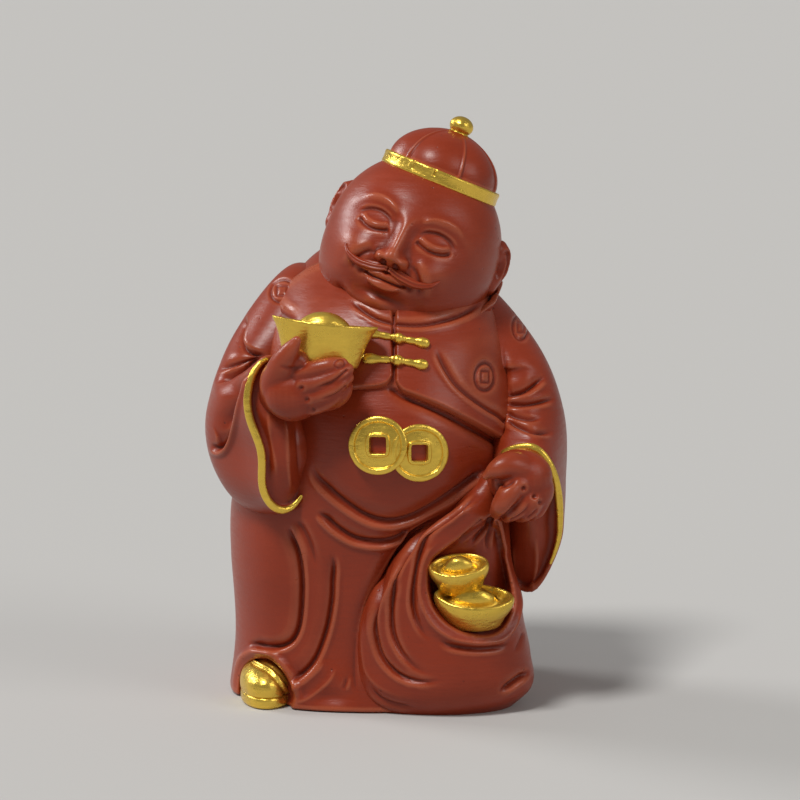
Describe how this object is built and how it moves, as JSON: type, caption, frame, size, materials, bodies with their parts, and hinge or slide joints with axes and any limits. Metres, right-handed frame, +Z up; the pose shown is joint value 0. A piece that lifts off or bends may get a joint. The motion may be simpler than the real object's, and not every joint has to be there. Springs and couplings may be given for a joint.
{
  "type": "tea pet figurine",
  "caption": "Hollow clay tea pet of a stout folk merchant in a melon cap, raising a gilded boat ingot in one hand and gripping a sack of ingots in the other.",
  "frame": {"origin": "centre of the bounding box at the underside that rests on the table", "axes": "+Z up, the figure faces -Y, +X to the viewer's right when looking at its front"},
  "size_m": [0.0686, 0.0606, 0.1103],
  "materials": {
    "clay": "burnished unglazed red clay with a low sheen",
    "gilding": "clay under hand-brushed gold paint with a satin metallic sheen"
  },
  "bodies": {
    "root": {"base_slab": "clay", "belly_coin_left": "gilding", "belly_coin_right": "gilding", "cap_band": "gilding", "cap_crown": "clay", "cap_knob": "gilding", "collar": "clay", "head": "clay", "held_ingot": "gilding", "jacket_left_panel": "clay", "jacket_right_panel": "clay", "left_cuff_trim": "gilding", "left_ear": "clay", "left_hand": "clay", "left_moustache": "clay", "left_sleeve": "clay", "lower_frog_knot": "gilding", "lower_frog_loop": "gilding", "lower_frog_tail": "gilding", "right_cuff_trim": "gilding", "right_ear": "clay", "right_hand": "clay", "right_moustache": "clay", "right_sleeve": "clay", "robe_back_shell": "clay", "robe_front_shell": "clay", "sack": "clay", "sack_ingot_lower": "gilding", "sack_ingot_upper": "gilding", "shoe_sole": "gilding", "shoe_upper": "gilding", "upper_frog_knot": "gilding", "upper_frog_loop": "gilding", "upper_frog_tail": "gilding"}
  },
  "joints": []
}
